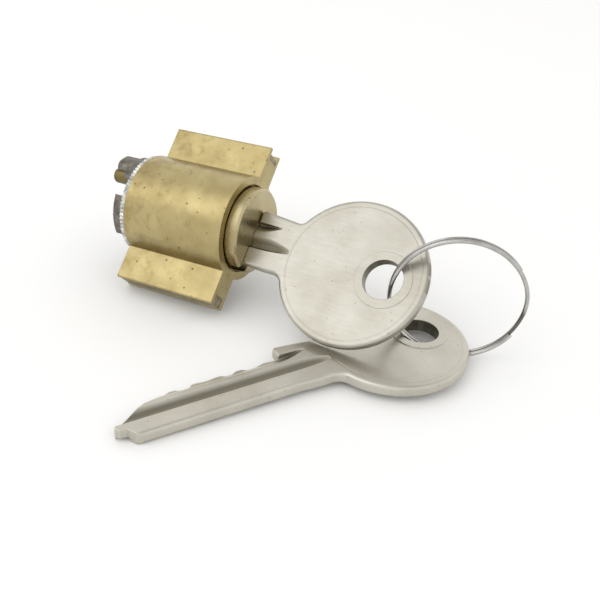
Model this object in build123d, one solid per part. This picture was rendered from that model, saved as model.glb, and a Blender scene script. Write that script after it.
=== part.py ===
from build123d import *
import math
import os

# Winged pin-tumbler lock cylinder with its key in the plug, a spare key and a split ring.
#
# The lock is drawn in its own frame: X runs along the plug's axis towards the key, Z up the
# pin chambers, and the shell's front face is at x = 0. Each key is drawn in a frame of its
# own, with its shoulder at x = 0 and the plug's axis at z = 0. Everything is then laid down
# as it rests on a table: X along the plug, Z up, origin under the middle of the whole set.

# Shell (mm)
SHELL_RADIUS = 9.0
SHELL_LENGTH = 19.0
WING_REACH = 14.55  # from the plug's axis to a wing's outer edge
WING_THICKNESS = 4.4
LIP_HEIGHT = 1.9  # of the groove along each wing's outer edge
LIP_THICKNESS = 0.75
LIP_ROUNDING = 0.32
UPPER_STRIP_THICKNESS = 1.0
LOWER_STRIP_THICKNESS = 1.8

# Plug
PLUG_RADIUS = 6.5
PLUG_BORE_RADIUS = 6.55
NOSE_RADIUS = 7.3
NOSE_LENGTH = 2.2
NOSE_SEAT_RADIUS = 7.6
NOSE_SEAT_DEPTH = 1.0
NOSE_BREAK = 0.35
PLUG_END = -20.0
SPIGOT_RADIUS = 5.6

# Pin chambers
PIN_COUNT = 5
FIRST_PIN_X = -2.7
PIN_PITCH = 3.66
PIN_RADIUS = 1.27
KEY_PIN_TOP = 6.34
KEY_PIN_TIP_RADIUS = 0.45
KEY_PIN_TIP_HEIGHT = 0.9
PLUG_CHAMBER_RADIUS = 1.32
PLUG_CHAMBER_FLOOR = 0.7
SHELL_CHAMBER_RADIUS = 1.35
DRIVER_BOTTOM = 6.62
DRIVER_LENGTH = 2.9
SPRING_WIRE_RADIUS = 0.16
SPRING_COIL_RADIUS = 0.95
SPRING_TURNS = 5.5

# Rear of the plug
WASHER_RADIUS = 8.8
WASHER_THICKNESS = 0.85
WASHER_TEETH = 80
TOOTH_DEPTH = 0.2
CAM_RADIUS = 8.2
CAM_THICKNESS = 1.8
CAM_HUB_RADIUS = 5.0
LUG_INNER_RADIUS = 3.7
LUG_HEIGHT = 2.7
LUG_START_DEG = 34.0  # from the pin chambers, turning towards the wing's broad face
LUG_SWEEP_DEG = 32.0
LUG_ROUNDING = 1.2
FOOT_SWEEP_DEG = 44.0  # the disc's own rim under a lug and its stud
LOBE_START_DEG = 104.0
LOBE_SWEEP_DEG = 51.0
STUD_SHANK_RADIUS = 0.8
STUD_RADIUS = 1.35
STUD_HEIGHT = 3.5  # over the cam's back
STUD_CIRCLE = 5.65
STUD_ANGLE_DEG = 65.0
STUD_DEPTH = 3.0  # into the plug

# Key
KEY_THICKNESS = 2.0
BOW_RADIUS = 12.4
BOW_X = 18.75  # from the shoulder
BOW_Z = -3.0
BOW_ROUNDING = 0.55
HOLE_RADIUS = 3.3
HOLE_X = 24.05
COLLAR_RADIUS = 4.7
COLLAR_HEIGHT = 0.15
NECK_TOP = 3.75
NECK_WAIST = (10.0, 2.6)  # the neck's top edge runs down to here, inside the bow
NECK_SPINE = (3.5, -6.5)
NECK_ROUNDINGS = (1.4, 2.2)  # into the bow, above and below
SHOULDER_ROUNDING = 0.7
SPINE_Z = -6.2
BLADE_LENGTH = 28.1
CREST_Z = 1.5
CUT_FLOORS = (0.95, 1.05, 1.3, 0.65, 0.9)  # height of each cut over the plug's axis
CUT_FLAT = 0.9
LAST_CREST_Z = 1.35
# Grooves along the blade: bottom, top, how far each side wall leans in per mm of depth, depth
WIDE_GROOVE = (-3.25, -1.05, 0.58, 1.6, 0.7)
BACK_GROOVE = (-4.9, -3.5, 0.4, 0.4, 0.5)
LAND = (-0.4, 1.5, 1.75, 0.3, 0.85)  # thinned land under the cuts
OPEN_LAND = (-0.4, 3.0, 1.75, 0.0, 0.85)  # the same beside the cuts, where nothing stands above
WIDE_GROOVE_REACH = 7.25  # past the shoulder
BACK_GROOVE_REACH = 7.0
LAND_REACH = 4.6
CUTTER_RADIUS = 18.0  # of the disc cutter that leaves the grooves' run-outs
KEYWAY_PLAY = 0.15

# Split ring
RING_RADIUS = 10.66  # to the middle of the wire
RING_WIRE_RADIUS = 0.34
RING_LAYER_PITCH = 0.76
RING_END_GAP_DEG = 8.0
RING_CROSSING_DEG = 50.0

# How the set lies: the lock on one wing's corner, the spare key flat under the first key's bow
LOCK_ROLL = -46.5
LOCK_PITCH = -2.5
SPARE_BOW = (29.28, -3.04, -11.44)  # bow centre, from the lock's origin
SPARE_HEADING = 57.1
RING_CENTRE = (37.39, 1.63, -2.49)
RING_NORMAL = (0.337, -0.941, -0.024)
RING_ENDS_TOWARDS = (0.93, 0.37, 0.05)
SETTLE_ABOUT_X = 0.8
SETTLE_ABOUT_Y = -1.19

PIN_XS = [FIRST_PIN_X - PIN_PITCH * i for i in range(PIN_COUNT)]
GROOVE_FLOOR = WING_REACH - LIP_HEIGHT
WASHER_FRONT = -SHELL_LENGTH - 0.08
CAM_FRONT = WASHER_FRONT - WASHER_THICKNESS
CAM_BACK = CAM_FRONT - CAM_THICKNESS
LUG_END = CAM_BACK - LUG_HEIGHT


def along_x(radius, x_low, x_high, y=0.0, z=0.0):
    """A round bar along X."""
    bar = Cylinder(radius, x_high - x_low, align=(Align.CENTER, Align.CENTER, Align.MIN))
    return Pos(x_low, y, z) * Rot(Y=90) * bar


def along_z(radius, z_low, z_high, x):
    """A round bar along Z, on the chambers' centre plane."""
    bar = Cylinder(radius, z_high - z_low, align=(Align.CENTER, Align.CENTER, Align.MIN))
    return Pos(x, 0, z_low) * bar


def block(x_range, y_range, z_range):
    """A box between low and high limits."""
    size = [high - low for low, high in (x_range, y_range, z_range)]
    middle = [(high + low) / 2 for low, high in (x_range, y_range, z_range)]
    return Pos(*middle) * Box(*size)


def key_pin_rest(index):
    """The height of a key pin's tip: on the highest part of the blade that passes under it."""
    crests = [CREST_Z] * (PIN_COUNT - 2) + [LAST_CREST_Z]
    passing = crests[index:] + list(CUT_FLOORS[index:])
    return max(passing) + 0.02


# ---------------------------------------------------------------- shell and its strips

def make_shell():
    wings = Rectangle(WING_THICKNESS, 2 * WING_REACH)
    groove_width = WING_THICKNESS - 2 * LIP_THICKNESS
    profile = Circle(SHELL_RADIUS) + wings
    for side in (1, -1):
        middle = side * (WING_REACH - LIP_HEIGHT / 2)
        profile -= Pos(0, middle) * Rectangle(groove_width, LIP_HEIGHT)
    tips = [v for v in profile.vertices() if abs(v.Y) > WING_REACH - 0.01]
    profile = fillet(tips, LIP_ROUNDING)
    body = extrude(Plane.YZ * profile, amount=SHELL_LENGTH, dir=(-1, 0, 0))
    body -= along_x(PLUG_BORE_RADIUS, -SHELL_LENGTH, 0)
    body -= along_x(NOSE_SEAT_RADIUS, -NOSE_SEAT_DEPTH, 0)
    for x in PIN_XS:
        body -= along_z(SHELL_CHAMBER_RADIUS, 0, GROOVE_FLOOR + 0.01, x)
    return body


def make_cover_strip(side, thickness):
    """The strip pressed into a wing's groove; the one over the chambers holds the springs in."""
    half = WING_THICKNESS / 2 - LIP_THICKNESS - 0.02
    low, high = sorted((side * GROOVE_FLOOR, side * (GROOVE_FLOOR + thickness)))
    strip = block((-SHELL_LENGTH + 0.1, -0.1), (-half, half), (low, high))
    outer = strip.faces().sort_by(Axis.Z)[-1 if side > 0 else 0]
    return chamfer(outer.edges().filter_by(Axis.X), 0.25)


# ---------------------------------------------------------------- plug and what rides on it

def ward_bar(ward, x_range, play=0.0):
    """A groove of the +Y face along X; with play it is the rib that the groove passes over."""
    low, high, low_lean, high_lean, depth = ward
    floor = KEY_THICKNESS / 2 - depth + play
    top = KEY_THICKNESS / 2 + 1
    low_foot = low + low_lean * (depth - play) + play
    high_foot = high - high_lean * (depth - play) - play
    section = Polyline((floor, low_foot), (floor, high_foot), (top, high + high_lean - play),
                       (top, low - low_lean + play), close=True)
    bar = extrude(Plane.YZ * make_face(section), amount=x_range[1] - x_range[0])
    return Pos(x_range[0], 0, 0) * bar


def keyway():
    """The slot that the blade slides in, open along the plug's underside, with its wards."""
    half = KEY_THICKNESS / 2 + KEYWAY_PLAY
    ends = (CAM_BACK - 1, NOSE_LENGTH + 1)
    slot = block(ends, (-half, half), (-NOSE_RADIUS - 1, CREST_Z + 0.5))
    for ward in (WIDE_GROOVE, OPEN_LAND):
        slot -= mirror(ward_bar(ward, ends, KEYWAY_PLAY), Plane.XZ)
    return slot - ward_bar(BACK_GROOVE, ends, KEYWAY_PLAY)


def make_plug():
    body = along_x(PLUG_RADIUS, WASHER_FRONT, 0)
    body += along_x(SPIGOT_RADIUS, CAM_FRONT + 0.02, WASHER_FRONT)
    nose = along_x(NOSE_RADIUS, -NOSE_SEAT_DEPTH + 0.05, NOSE_LENGTH)
    nose = chamfer(nose.edges().sort_by(Axis.X)[-1], NOSE_BREAK)
    body += nose
    body -= keyway()
    for x in PIN_XS:
        body -= along_z(PLUG_CHAMBER_RADIUS, PLUG_CHAMBER_FLOOR, NOSE_RADIUS, x)
    for y, z in stud_centres():
        body -= along_x(STUD_SHANK_RADIUS, CAM_FRONT, CAM_FRONT + STUD_DEPTH, y, z)
    return body


def make_key_pin(index):
    x = PIN_XS[index]
    tip = key_pin_rest(index)
    cone = Cone(KEY_PIN_TIP_RADIUS, PIN_RADIUS, KEY_PIN_TIP_HEIGHT,
                align=(Align.CENTER, Align.CENTER, Align.MIN))
    body = along_z(PIN_RADIUS, tip + KEY_PIN_TIP_HEIGHT, KEY_PIN_TOP, x)
    body = chamfer(body.edges().sort_by(Axis.Z)[-1], 0.15)
    return body + Pos(x, 0, tip) * cone


def make_driver_pin(index):
    body = along_z(PIN_RADIUS, DRIVER_BOTTOM, DRIVER_BOTTOM + DRIVER_LENGTH, PIN_XS[index])
    return chamfer(body.edges().filter_by(GeomType.CIRCLE), 0.15)


def make_spring(index):
    low = DRIVER_BOTTOM + DRIVER_LENGTH + SPRING_WIRE_RADIUS + 0.02
    high = GROOVE_FLOOR - SPRING_WIRE_RADIUS - 0.02
    coil = Helix(pitch=(high - low) / SPRING_TURNS, height=high - low, radius=SPRING_COIL_RADIUS)
    wire = Plane(origin=coil @ 0, z_dir=coil % 0) * Circle(SPRING_WIRE_RADIUS)
    return Pos(PIN_XS[index], 0, low) * sweep(wire, path=coil, is_frenet=True)


def polar(radius, angle_deg):
    """(y, z) at an angle from +Z towards -Y."""
    angle = math.radians(angle_deg)
    return -radius * math.sin(angle), radius * math.cos(angle)


def sector(radius, start_deg, sweep_deg, x_low, x_high):
    """A wedge about the plug's axis; angles turn from +Z towards -Y."""
    rim = [polar(radius * 1.5, start_deg + sweep_deg * i / 4) for i in range(5)]
    wedge = make_face(Polyline((0, 0), *rim, close=True))
    wedge = extrude(Plane.YZ * wedge, amount=x_high - x_low)
    return Pos(x_low, 0, 0) * wedge & along_x(radius, x_low, x_high)


def stud_centres():
    return [polar(STUD_CIRCLE, STUD_ANGLE_DEG), polar(STUD_CIRCLE, STUD_ANGLE_DEG + 180)]


def make_toothed_washer():
    rim = []
    for i in range(WASHER_TEETH):
        rim.append(polar(WASHER_RADIUS, 360 * i / WASHER_TEETH))
        rim.append(polar(WASHER_RADIUS - TOOTH_DEPTH, 360 * (i + 0.5) / WASHER_TEETH))
    star = Plane.YZ * make_face(Polyline(*rim, close=True))
    ring = Pos(CAM_FRONT, 0, 0) * extrude(star, amount=WASHER_THICKNESS)
    ring -= along_x(SPIGOT_RADIUS + 0.03, CAM_FRONT, WASHER_FRONT)
    for y, z in stud_centres():
        ring -= along_x(STUD_SHANK_RADIUS, CAM_FRONT, WASHER_FRONT, y, z)
    return ring - keyway()


def make_lug(start_deg):
    """A lug over the cam's back, its two outer corners rounded off."""
    lug = sector(CAM_RADIUS, start_deg, LUG_SWEEP_DEG, LUG_END, CAM_BACK)
    lug -= along_x(LUG_INNER_RADIUS, LUG_END, CAM_BACK)
    long_edges = lug.edges().filter_by(Axis.X)
    outer = [e for e in long_edges if math.hypot(e.center().Y, e.center().Z) > CAM_RADIUS - 0.5]
    return fillet(outer, LUG_ROUNDING)


def make_drive_cam():
    """A hub with two lugs that turn the lock's tailpiece and two plain lobes between them."""
    cam = along_x(CAM_HUB_RADIUS, CAM_BACK, CAM_FRONT)
    for half_turn in (0, 180):
        foot_start = LUG_START_DEG + half_turn
        lobe_start = LOBE_START_DEG + half_turn
        cam += sector(CAM_RADIUS, foot_start, FOOT_SWEEP_DEG, CAM_BACK, CAM_FRONT)
        cam += sector(CAM_RADIUS, lobe_start, LOBE_SWEEP_DEG, CAM_BACK, CAM_FRONT)
        cam += make_lug(foot_start)
    for y, z in stud_centres():
        cam -= along_x(STUD_SHANK_RADIUS, CAM_BACK, CAM_FRONT, y, z)
        cam -= along_x(STUD_RADIUS + 0.02, LUG_END, CAM_BACK, y, z)
    return cam - keyway()


def make_cam_stud(index):
    """A stud beside a lug, riveted through the cam and the washer into the plug."""
    y, z = stud_centres()[index]
    shank = along_x(STUD_SHANK_RADIUS - 0.01, CAM_BACK, CAM_FRONT + STUD_DEPTH - 0.1, y, z)
    body = along_x(STUD_RADIUS, CAM_BACK - STUD_HEIGHT, CAM_BACK, y, z)
    return shank + fillet(body.edges().sort_by(Axis.X)[0], STUD_RADIUS * 0.5)


# ---------------------------------------------------------------- keys and ring

def blade_outline():
    """The edge of the blade from the shoulder over the cuts, round the tip and along the spine."""
    points = [(0, 1.2), (-2.4, CREST_Z)]
    for i, floor in enumerate(CUT_FLOORS):
        cut_x = PIN_XS[i] - NOSE_LENGTH
        points += [(cut_x + CUT_FLAT / 2, floor), (cut_x - CUT_FLAT / 2, floor)]
        if i < PIN_COUNT - 1:
            crest = CREST_Z if i < PIN_COUNT - 2 else LAST_CREST_Z
            middle = cut_x - PIN_PITCH / 2
            points += [(middle + 0.45, crest), (middle - 0.45, crest)]
    nose = -BLADE_LENGTH
    points += [(nose + 1.9, -2.2), (nose + 0.4, -3.1), (nose, -3.7)]
    points += [(nose + 0.5, -4.3), (nose + 1.5, -4.4), (nose + 2.3, -5.7), (nose + 3.1, SPINE_Z)]
    points += [(0, SPINE_Z)]
    return points


def ward_cut(ward, reach):
    """A groove of the +Y face that runs out past the shoulder the way a disc cutter leaves it."""
    low, high, low_lean, high_lean, depth = ward
    run_out = math.sqrt(CUTTER_RADIUS ** 2 - (CUTTER_RADIUS - depth) ** 2)
    start = reach - run_out
    shoulder = CUTTER_RADIUS - depth - 1
    section = Polyline((0, low - low_lean), (shoulder, low - low_lean),
                       (CUTTER_RADIUS, low + low_lean * depth),
                       (CUTTER_RADIUS, high - high_lean * depth),
                       (shoulder, high + high_lean), (0, high + high_lean), close=True)
    disc = revolve(Plane.XZ * make_face(section), Axis.Z)
    disc = Pos(start, KEY_THICKNESS / 2 - depth + CUTTER_RADIUS, 0) * disc
    return disc + ward_bar(ward, (-BLADE_LENGTH - 1, start))


def key_outline():
    """Round bow, neck with its shoulder, and the blade."""
    neck = make_face(Polyline((0, SPINE_Z), (0, NECK_TOP), NECK_WAIST,
                              (NECK_WAIST[0], NECK_SPINE[1]), NECK_SPINE, close=True))
    shoulder = [v for v in neck.vertices() if v.X < 0.1 and v.Y > 1]
    neck = fillet(shoulder, SHOULDER_ROUNDING)
    outline = Pos(BOW_X, BOW_Z) * Circle(BOW_RADIUS) + neck
    joins = [v for v in outline.vertices() if v.X > NECK_SPINE[0] + 1]
    for join, rounding in zip(sorted(joins, key=lambda v: -v.Y), NECK_ROUNDINGS):
        near = [v for v in outline.vertices() if (v.center() - join.center()).length < 0.01]
        outline = fillet(near, rounding)
    return outline + make_face(Polyline(*blade_outline(), (1, SPINE_Z), (1, 1.2), close=True))


def make_key():
    """Round bow, neck, shoulder and a cut blade, all from one flat blank."""
    key = extrude(Plane.XZ * key_outline(), amount=KEY_THICKNESS / 2, both=True)
    rims = [e for e in key.edges() if e.geom_type == GeomType.CIRCLE
            and abs(e.radius - BOW_RADIUS) < 0.01]
    key = fillet(rims, BOW_ROUNDING)
    key += Pos(HOLE_X, -KEY_THICKNESS / 2 - COLLAR_HEIGHT / 2, BOW_Z) * Rot(X=90) * Cylinder(
        COLLAR_RADIUS, COLLAR_HEIGHT)
    key -= Pos(HOLE_X, 0, BOW_Z) * Rot(X=90) * Cylinder(HOLE_RADIUS, KEY_THICKNESS * 2)
    key -= ward_cut(BACK_GROOVE, BACK_GROOVE_REACH)
    key -= mirror(ward_cut(WIDE_GROOVE, WIDE_GROOVE_REACH), Plane.XZ)
    key -= mirror(ward_cut(LAND, LAND_REACH), Plane.XZ)
    key -= mirror(ward_bar(OPEN_LAND, (-BLADE_LENGTH - 1, 0)), Plane.XZ)
    return key


def make_split_ring():
    """Two turns of wire side by side; the wire crosses from one turn to the other at its ends."""
    def point(angle_deg):
        share = (angle_deg - 360 + RING_CROSSING_DEG / 2) / RING_CROSSING_DEG
        share = min(max(share, 0.0), 1.0)
        height = RING_LAYER_PITCH * (share * share * (3 - 2 * share) - 0.5)
        angle = math.radians(angle_deg)
        return RING_RADIUS * math.cos(angle), RING_RADIUS * math.sin(angle), height

    first = RING_CROSSING_DEG / 2 + RING_END_GAP_DEG
    last = 720 - first
    steps = 66
    path = Spline(*[point(first + (last - first) * i / steps) for i in range(steps + 1)])
    wire = Plane(origin=path @ 0, z_dir=path % 0) * Circle(RING_WIRE_RADIUS)
    return sweep(wire, path=path)


# ---------------------------------------------------------------- the set as it lies

def settle():
    return Rot(X=SETTLE_ABOUT_X) * Rot(Y=SETTLE_ABOUT_Y)


def lock_place():
    return settle() * Rot(Y=LOCK_PITCH) * Rot(X=LOCK_ROLL)


def key_place():
    return lock_place() * Pos(NOSE_LENGTH + 0.02, 0, 0)


def spare_place():
    turn = Rot(Z=SPARE_HEADING) * Rot(X=-90)
    return settle() * Pos(*SPARE_BOW) * turn * Pos(-BOW_X, 0, -BOW_Z)


def ring_place():
    plane = Plane(origin=RING_CENTRE, x_dir=RING_ENDS_TOWARDS, z_dir=RING_NORMAL)
    return settle() * plane.location


def lying_nodes():
    """Every node where it lies, with the lock's own origin still at (0, 0, 0)."""
    lock = lock_place()
    nodes = {"shell": lock * make_shell()}
    nodes["upper_cover_strip"] = lock * make_cover_strip(1, UPPER_STRIP_THICKNESS)
    nodes["lower_cover_strip"] = lock * make_cover_strip(-1, LOWER_STRIP_THICKNESS)
    nodes["plug"] = lock * make_plug()
    for i in range(PIN_COUNT):
        nodes[f"key_pin_{i + 1}"] = lock * make_key_pin(i)
        nodes[f"driver_pin_{i + 1}"] = lock * make_driver_pin(i)
        nodes[f"pin_spring_{i + 1}"] = lock * make_spring(i)
    nodes["toothed_washer"] = lock * make_toothed_washer()
    nodes["drive_cam"] = lock * make_drive_cam()
    for i in range(2):
        nodes[f"cam_stud_{i + 1}"] = lock * make_cam_stud(i)
    key = make_key()
    nodes["key"] = key_place() * key
    nodes["spare_key"] = spare_place() * key
    nodes["split_ring"] = ring_place() * make_split_ring()
    return nodes


def origin_shift(nodes):
    """Moves the origin to the middle of the set's underside."""
    boxes = [shape.bounding_box() for shape in nodes.values()]
    low = [min(getattr(b.min, axis) for b in boxes) for axis in "XYZ"]
    high = [max(getattr(b.max, axis) for b in boxes) for axis in "XYZ"]
    return Pos(-(low[0] + high[0]) / 2, -(low[1] + high[1]) / 2, -low[2])


lying = lying_nodes()
shift = origin_shift(lying)
nodes = {name: shift * shape for name, shape in lying.items()}

os.makedirs("parts", exist_ok=True)
for name, shape in nodes.items():
    export_step(shape, f"parts/{name}.step")
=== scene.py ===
import math
import bpy
from mathutils import Matrix, Vector

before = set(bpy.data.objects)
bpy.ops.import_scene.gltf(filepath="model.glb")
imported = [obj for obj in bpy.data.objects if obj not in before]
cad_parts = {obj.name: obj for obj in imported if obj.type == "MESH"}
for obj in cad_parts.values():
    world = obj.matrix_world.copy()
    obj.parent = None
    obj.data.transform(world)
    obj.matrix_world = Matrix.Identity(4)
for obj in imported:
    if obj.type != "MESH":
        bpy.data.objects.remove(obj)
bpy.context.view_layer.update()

# A winged lock cylinder, its two keys and their split ring, in the photograph's view.
# Lengths are in metres and places are in the row frame: X along the plug, Z up, floor at z = 0.

MM = 0.001

# Camera
AIM = Vector((5.58, 3.24, 10.93)) * MM
DISTANCE = 124.99 * MM
AZIMUTH = math.radians(-66.08)
ELEVATION = math.radians(32.19)
ROLL = math.radians(5.57)
LENS_MM = 48.96
SENSOR_MM = 36.0
NEAREST_SEEN = 5 * MM

# The keys' and the ring's own frames: a key has its origin in the middle of its bow, X along it
# away from the blade and Z up to the cuts; the ring has Z through its middle
KEY_BOW_CENTRE = Vector((10.02, 13.22, 12.2)) * MM
KEY_TURN = [math.radians(angle) for angle in (-45.7, -3.69, -0.05)]
SPARE_BOW_CENTRE = Vector((18.47, 12.5, 2.07)) * MM
SPARE_TURN = [math.radians(angle) for angle in (-90.56, -1.32, 57.1)]
RING_CENTRE = Vector((26.39, 17.04, 11.25)) * MM
RING_TURN = [math.radians(angle) for angle in (91.73, -4.2, 19.61)]

# Along X on the shell and the plug: the tarnish starts here and is thickest at the rear
TARNISH_START = -15 * MM
TARNISH_FULL = -29 * MM

# Places on a key, in its own frame
RIM_LINE_RADIUS = 11.3 * MM
RIM_LINE_HALF_WIDTH = (0.05 * MM, 0.16 * MM)
HOLE_OFFSET = 5.3 * MM
HOLE_RADIUS = 3.3 * MM
HOLE_SHADE_BLUR = 0.05 * MM
FACE_TO_GROOVE_FLOOR = (-0.97 * MM, -0.6 * MM)
GROOVE_SHADE_BAND = (-0.3 * MM, 2.0 * MM)
LAND_SHADE_BAND = (2.6 * MM, 4.6 * MM)
SLOPE_HIGHLIGHT_BAND = (2.0 * MM, 3.9 * MM)
SHADE_BAND_BLUR = 0.05 * MM
SLOPE_HIGHLIGHT_BLUR = 0.12 * MM
LAND_SHADE_STARTS = (-20 * MM, -17 * MM)
SLOPE_HIGHLIGHT_ENDS = (-19.5 * MM, -18.5 * MM)

# The painted shade line where the ring's two turns meet
RING_SEAM_SHADE = 0.16 * MM
RING_SEAM_SHADE_BLUR = 0.06 * MM

# Studio
FLOOR_SIZE = 3.0
FLOOR_COLOUR = (0.93, 0.93, 0.925, 1.0)
FLOOR_TINT = (0.8, 0.8, 0.8, 1.0)
FLOOR_ROUGHNESS = 0.7
WORLD_COLOUR = (1.0, 0.995, 0.985, 1.0)
WORLD_SIDES = 1.12
WORLD_ZENITH = 0.62
ZENITH_FADE = (0.75, 0.98)
LIGHT_PLACE = Vector((-0.20, -0.30, 0.48))
LIGHT_AIM = Vector((0.0, 0.0, 0.01))
LIGHT_SIZE = 0.55
LIGHT_POWER = 0.75


def srgb(red, green, blue):
    """A colour given as 0 to 255 screen values, as linear RGBA."""
    def linear(value):
        value /= 255
        return value / 12.92 if value <= 0.04045 else ((value + 0.055) / 1.055) ** 2.4
    return linear(red), linear(green), linear(blue), 1.0


# ---------------------------------------------------------------- shading helpers

class Graph:
    """A material's node tree, with short calls for the nodes used here.

    A mask is a value that is 1 where something shows and 0 where it doesn't.
    """

    def __init__(self, name, centre=(0.0, 0.0, 0.0), turn=(0.0, 0.0, 0.0)):
        self.material = bpy.data.materials.new(name)
        self.material.use_nodes = True
        self.nodes = self.material.node_tree.nodes
        self.links = self.material.node_tree.links
        self.shader = self.nodes["Principled BSDF"]
        coords = self.nodes.new("ShaderNodeTexCoord")
        mapping = self.nodes.new("ShaderNodeMapping")
        mapping.vector_type = "TEXTURE"
        mapping.inputs["Location"].default_value = centre
        mapping.inputs["Rotation"].default_value = turn
        self.links.new(coords.outputs["Object"], mapping.inputs["Vector"])
        self.place = mapping.outputs["Vector"]
        self.soft_normal = None

    # Places and patterns

    def stretched(self, scale):
        """The place, stretched by a factor along each axis."""
        node = self.nodes.new("ShaderNodeMapping")
        node.inputs["Scale"].default_value = scale
        self.links.new(self.place, node.inputs["Vector"])
        return node.outputs["Vector"]

    def part(self, vector, axis):
        """One coordinate of a vector."""
        node = self.nodes.new("ShaderNodeSeparateXYZ")
        self.links.new(vector, node.inputs["Vector"])
        return node.outputs[axis]

    def noise(self, size, detail=3.0, roughness=0.55, vector=None):
        """Smooth noise whose features are about size metres across."""
        node = self.nodes.new("ShaderNodeTexNoise")
        node.inputs["Scale"].default_value = 1 / size
        node.inputs["Detail"].default_value = detail
        node.inputs["Roughness"].default_value = roughness
        self.links.new(vector or self.place, node.inputs["Vector"])
        return node.outputs["Fac"]

    def pits(self, spacing, reach):
        """A mask of scattered spots; reach is their radius in units of spacing."""
        node = self.nodes.new("ShaderNodeTexVoronoi")
        node.inputs["Scale"].default_value = 1 / spacing
        self.links.new(self.place, node.inputs["Vector"])
        return self.fall(node.outputs["Distance"], reach * 0.4, reach)

    def face_normal(self):
        return self.nodes.new("ShaderNodeNewGeometry").outputs["Normal"]

    def painted_underside_shade(self):
        """A mask of the faces that are turned to the floor, which are darkened there as painted
        shade.
        """
        return self.fall(self.part(self.face_normal(), "Z"), -0.6, -0.1)

    def edges(self, radius):
        """A mask of the edges, which this also softens by a radius."""
        bevel = self.nodes.new("ShaderNodeBevel")
        bevel.samples = 6
        bevel.inputs["Radius"].default_value = radius
        self.soft_normal = bevel.outputs["Normal"]
        dot = self.nodes.new("ShaderNodeVectorMath")
        dot.operation = "DOT_PRODUCT"
        self.links.new(self.soft_normal, dot.inputs[0])
        self.links.new(self.face_normal(), dot.inputs[1])
        return self.fall(dot.outputs["Value"], 0.86, 0.99)

    # Values

    def ramp(self, value, limits, results):
        """Maps a value between two limits to two results."""
        node = self.nodes.new("ShaderNodeMapRange")
        node.inputs["From Min"].default_value = limits[0]
        node.inputs["From Max"].default_value = limits[1]
        node.inputs["To Min"].default_value = results[0]
        node.inputs["To Max"].default_value = results[1]
        self.links.new(value, node.inputs["Value"])
        return node.outputs["Result"]

    def rise(self, value, low, high, top=1.0):
        """0 up to a low value, top from a high value on."""
        return self.ramp(value, (low, high), (0.0, top))

    def fall(self, value, low, high, top=1.0):
        """Top up to a low value, 0 from a high value on."""
        return self.ramp(value, (low, high), (top, 0.0))

    def between(self, value, low, high, blur):
        """A mask of the values between two limits."""
        return self.times(self.rise(value, low - blur, low + blur),
                          self.fall(value, high - blur, high + blur))

    def maths(self, operation, *values):
        node = self.nodes.new("ShaderNodeMath")
        node.operation = operation
        for socket, value in zip(node.inputs, values):
            if isinstance(value, float):
                socket.default_value = value
            else:
                self.links.new(value, socket)
        return node.outputs["Value"]

    def times(self, first, second):
        return self.maths("MULTIPLY", first, second)

    def length(self, first, second):
        """The length of a vector that has these two coordinates."""
        squares = self.maths("ADD", self.times(first, first), self.times(second, second))
        return self.maths("POWER", squares, 0.5)

    # Colours and the shader

    def mix(self, share, first, second):
        """Blends two colours by share."""
        node = self.nodes.new("ShaderNodeMix")
        node.data_type = "RGBA"
        self.links.new(share, node.inputs["Factor"])
        colours = [socket for socket in node.inputs if socket.type == "RGBA"]
        for socket, value in zip(colours, (first, second)):
            if isinstance(value, tuple):
                socket.default_value = value
            else:
                self.links.new(value, socket)
        return next(socket for socket in node.outputs if socket.type == "RGBA")

    def tinted(self, colour, tint, mask, strength):
        """The colour, with a tint laid over it where the mask is."""
        return self.mix(self.times(mask, strength), colour, tint)

    def bump(self, distance, *heights):
        """Bumps one on another; heights are in units of distance."""
        normal = self.soft_normal
        for height in heights:
            node = self.nodes.new("ShaderNodeBump")
            node.inputs["Distance"].default_value = distance
            self.links.new(height, node.inputs["Height"])
            if normal:
                self.links.new(normal, node.inputs["Normal"])
            normal = node.outputs["Normal"]
        self.links.new(normal, self.shader.inputs["Normal"])

    def finish(self, colour, roughness, metallic=1.0):
        """Connects the colour and the roughness; returns the material."""
        self.shader.inputs["Metallic"].default_value = metallic
        self.links.new(colour, self.shader.inputs["Base Color"])
        if isinstance(roughness, float):
            self.shader.inputs["Roughness"].default_value = roughness
        else:
            self.links.new(roughness, self.shader.inputs["Roughness"])
        return self.material


# ---------------------------------------------------------------- materials

def worn_brass(name, light, dark, brown, roughness):
    """Aged brass: cloudy tarnish that thickens to the rear, dark pits, edges worn bright, and
    painted shade on the faces turned to the floor.
    """
    g = Graph(name)
    worn = g.edges(radius=0.16 * MM)
    cloud = g.rise(g.noise(5 * MM, detail=5.0), 0.35, 0.68)
    rear = g.fall(g.part(g.place, "X"), TARNISH_FULL, TARNISH_START, top=0.12)
    blotches = g.noise(1.6 * MM, detail=5.0, roughness=0.6)
    stain = g.rise(g.maths("ADD", blotches, rear), 0.56, 0.82, top=0.55)
    pit = g.pits(spacing=1.7 * MM, reach=0.13)
    fine_pit = g.pits(spacing=0.8 * MM, reach=0.10)
    colour = g.mix(cloud, light, dark)
    colour = g.mix(stain, colour, brown)
    # Painted shade: the faces turned to the floor are darkened to grey-brown
    colour = g.tinted(colour, srgb(112, 102, 80), g.painted_underside_shade(), strength=0.7)
    colour = g.tinted(colour, srgb(214, 198, 148), worn, strength=0.5)
    colour = g.tinted(colour, srgb(70, 58, 34), pit, strength=0.7)
    colour = g.tinted(colour, srgb(96, 82, 52), fine_pit, strength=0.45)
    shine = g.ramp(g.noise(2.4 * MM, detail=4.0), (0.3, 0.7), (roughness - 0.07, roughness + 0.08))
    g.bump(0.014 * MM, g.noise(0.22 * MM, detail=4.0), g.times(pit, -2.5))
    return g.finish(colour, shine)


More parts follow.
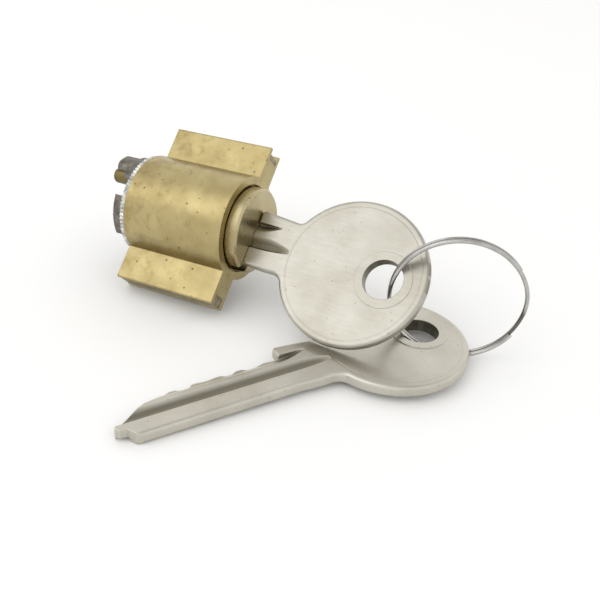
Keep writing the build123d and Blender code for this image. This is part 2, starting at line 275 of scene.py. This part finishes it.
def nickel(name, bow_centre, turn, light, dark):
    """Nickel plate worn to a warm satin: scratches along the key, pits, a line inside the bow;
    painted shade down the wide milled channel, on the sunk lands near the neck and on the hole's
    inner wall, and a painted highlight on the sloped flank of the lands.
    """
    g = Graph(name, bow_centre, turn)
    along, depth, across = (g.part(g.place, axis) for axis in "XYZ")
    worn = g.edges(radius=0.14 * MM)
    cloud = g.rise(g.noise(7 * MM, detail=4.0), 0.35, 0.65)
    scratches = g.noise(0.35 * MM, roughness=0.7, vector=g.stretched((0.08, 1.0, 1.0)))
    pit = g.pits(spacing=1.3 * MM, reach=0.11)

    from_hole = g.length(g.maths("SUBTRACT", along, HOLE_OFFSET), across)
    # Painted shade on the inner wall of the bow's hole
    hole_wall_shade = g.fall(from_hole, HOLE_RADIUS, HOLE_RADIUS + HOLE_SHADE_BLUR)
    off_line = g.maths("SUBTRACT", g.length(along, across), RIM_LINE_RADIUS)
    line = g.fall(g.maths("ABSOLUTE", off_line), *RIM_LINE_HALF_WIDTH)

    sunk = g.rise(depth, *FACE_TO_GROOVE_FLOOR)
    # Painted shade in the wide milled channel
    groove_shade = g.times(sunk, g.between(across, *GROOVE_SHADE_BAND, SHADE_BAND_BLUR))
    # Painted shade on the sunk lands, only near the neck
    land_shade = g.times(sunk, g.between(across, *LAND_SHADE_BAND, SHADE_BAND_BLUR))
    land_shade = g.times(land_shade, g.rise(along, *LAND_SHADE_STARTS))
    # Painted highlight on the sloped flank of the lands
    slope_highlight = g.times(sunk, g.between(across, *SLOPE_HIGHLIGHT_BAND, SLOPE_HIGHLIGHT_BLUR))
    slope_highlight = g.times(slope_highlight, g.fall(along, *SLOPE_HIGHLIGHT_ENDS))

    colour = g.mix(cloud, light, dark)
    # Painted highlight on the sloped flank
    colour = g.tinted(colour, srgb(236, 233, 222), slope_highlight, strength=0.7)
    # Painted shade down the wide milled channel
    colour = g.tinted(colour, srgb(112, 107, 90), groove_shade, strength=0.85)
    # Painted shade on the sunk lands
    colour = g.tinted(colour, srgb(96, 91, 74), land_shade, strength=0.8)
    colour = g.tinted(colour, srgb(232, 230, 220), worn, strength=0.6)
    colour = g.tinted(colour, srgb(140, 134, 116), line, strength=0.12)
    colour = g.tinted(colour, srgb(112, 104, 84), pit, strength=0.6)
    # Painted shade darkens the hole's inner wall
    colour = g.tinted(colour, srgb(104, 101, 90), hole_wall_shade, strength=0.8)
    g.bump(0.007 * MM, scratches, g.times(pit, -2.0), g.times(line, -3.0))
    return g.finish(colour, g.ramp(scratches, (0.3, 0.7), (0.30, 0.42)))


def steel(name, light, dark, roughness, grain=0.5 * MM, relief=0.01 * MM):
    """Plain steel with a fine uneven surface."""
    g = Graph(name)
    cloud = g.rise(g.noise(1.2 * MM, detail=5.0), 0.35, 0.65)
    fine = g.noise(grain, detail=4.0)
    g.bump(relief, fine)
    shine = g.ramp(fine, (0.3, 0.7), (roughness - 0.08, roughness + 0.1))
    return g.finish(g.mix(cloud, light, dark), shine)


def ring_wire(name):
    """Bright drawn wire, with painted shade where the ring's two turns lie against each other."""
    g = Graph(name, RING_CENTRE, RING_TURN)
    # Painted shade where the two turns meet
    seam_shade = g.between(g.part(g.place, "Z"), -RING_SEAM_SHADE, RING_SEAM_SHADE, RING_SEAM_SHADE_BLUR)
    cloud = g.rise(g.noise(2 * MM), 0.35, 0.65)
    colour = g.mix(cloud, srgb(188, 186, 183), srgb(170, 168, 164))
    return g.finish(g.tinted(colour, srgb(84, 81, 76), seam_shade, strength=0.85), 0.2)


def floor_paper(name):
    """Pale paper with a faint unevenness."""
    g = Graph(name)
    tint = g.rise(g.noise(0.2, detail=2.0), 0.3, 0.7, top=0.05)
    return g.finish(g.mix(tint, FLOOR_COLOUR, FLOOR_TINT), FLOOR_ROUGHNESS, metallic=0.0)


def dress_nodes():
    """Gives every CAD node its material."""
    shell_brass = worn_brass("aged_brass", light=srgb(182, 167, 121), dark=srgb(165, 149, 104),
                             brown=srgb(134, 115, 76), roughness=0.32)
    plug_brass = worn_brass("plug_brass", light=srgb(184, 172, 136), dark=srgb(166, 152, 114),
                            brown=srgb(132, 115, 80), roughness=0.28)
    pin_brass = worn_brass("pin_brass", light=srgb(206, 180, 112), dark=srgb(188, 160, 94),
                           brown=srgb(160, 134, 78), roughness=0.25)
    stud_brass = worn_brass("stud_brass", light=srgb(140, 126, 84), dark=srgb(108, 96, 62),
                            brown=srgb(80, 70, 44), roughness=0.4)
    strip_steel = steel("strip_steel", light=srgb(166, 156, 134), dark=srgb(124, 114, 92),
                        roughness=0.5)
    spring_steel = steel("spring_steel", light=srgb(190, 190, 190), dark=srgb(160, 160, 160),
                         roughness=0.3)
    bright_steel = steel("bright_steel", light=srgb(222, 222, 220), dark=srgb(150, 150, 148),
                         roughness=0.32, grain=0.3 * MM, relief=0.05 * MM)
    dark_steel = steel("dark_steel", light=srgb(130, 125, 117), dark=srgb(96, 91, 83),
                       roughness=0.38)
    key_nickel = nickel("nickel_key", KEY_BOW_CENTRE, KEY_TURN,
                        light=srgb(186, 183, 173), dark=srgb(172, 168, 157))
    spare_nickel = nickel("nickel_spare_key", SPARE_BOW_CENTRE, SPARE_TURN,
                          light=srgb(200, 196, 185), dark=srgb(188, 184, 172))
    singles = {
        "shell": shell_brass, "upper_cover_strip": strip_steel, "lower_cover_strip": strip_steel,
        "plug": plug_brass, "toothed_washer": bright_steel, "drive_cam": dark_steel,
        "key": key_nickel, "spare_key": spare_nickel, "split_ring": ring_wire("ring_steel"),
    }
    numbered = {"cam_stud": stud_brass, "key_pin": pin_brass, "driver_pin": pin_brass,
                "pin_spring": spring_steel}
    for name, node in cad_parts.items():
        material = singles.get(name) or numbered[name.rsplit("_", 1)[0]]
        node.data.materials.clear()
        node.data.materials.append(material)


# ---------------------------------------------------------------- studio

def place_in_scene(name, data):
    thing = bpy.data.objects.new(name, data)
    bpy.context.scene.collection.objects.link(thing)
    return thing


def add_camera():
    """The photograph's camera, rolled a little about its line of sight."""
    data = bpy.data.cameras.new("camera")
    data.lens = LENS_MM
    data.sensor_width = SENSOR_MM
    data.clip_start = NEAREST_SEEN
    camera = place_in_scene("camera", data)
    back = Vector((math.cos(ELEVATION) * math.cos(AZIMUTH),
                   math.cos(ELEVATION) * math.sin(AZIMUTH), math.sin(ELEVATION)))
    level = Vector((0, 0, 1)).cross(back).normalized()
    right = Matrix.Rotation(ROLL, 3, back) @ level
    up = back.cross(right)
    turn = Matrix((right, up, back)).transposed().to_4x4()
    camera.matrix_world = Matrix.Translation(AIM + back * DISTANCE) @ turn
    bpy.context.scene.camera = camera


def add_world():
    """An even white sky, dimmer overhead so that level faces aren't washed out."""
    world = bpy.data.worlds.new("studio")
    world.use_nodes = True
    nodes, links = world.node_tree.nodes, world.node_tree.links
    background = nodes["Background"]
    background.inputs["Color"].default_value = WORLD_COLOUR
    height = nodes.new("ShaderNodeSeparateXYZ")
    links.new(nodes.new("ShaderNodeTexCoord").outputs["Generated"], height.inputs["Vector"])
    fade = nodes.new("ShaderNodeMapRange")
    fade.inputs["From Min"].default_value, fade.inputs["From Max"].default_value = ZENITH_FADE
    fade.inputs["To Min"].default_value = WORLD_SIDES
    fade.inputs["To Max"].default_value = WORLD_ZENITH
    links.new(height.outputs["Z"], fade.inputs["Value"])
    links.new(fade.outputs["Result"], background.inputs["Strength"])
    bpy.context.scene.world = world


def add_floor():
    half = FLOOR_SIZE / 2
    mesh = bpy.data.meshes.new("floor")
    corners = [(-half, -half, 0), (half, -half, 0), (half, half, 0), (-half, half, 0)]
    mesh.from_pydata(corners, [], [(0, 1, 2, 3)])
    floor = place_in_scene("floor", mesh)
    floor.data.materials.append(floor_paper("floor_paper"))


def add_key_light():
    """One large soft light, high on the left in front."""
    data = bpy.data.lights.new("key_light", "AREA")
    data.shape = "SQUARE"
    data.size = LIGHT_SIZE
    data.energy = LIGHT_POWER
    light = place_in_scene("key_light", data)
    light.location = LIGHT_PLACE
    light.rotation_euler = (LIGHT_AIM - LIGHT_PLACE).to_track_quat("-Z", "Y").to_euler()


dress_nodes()
add_camera()
add_world()
add_floor()
add_key_light()
bpy.context.scene.view_settings.view_transform = "Standard"
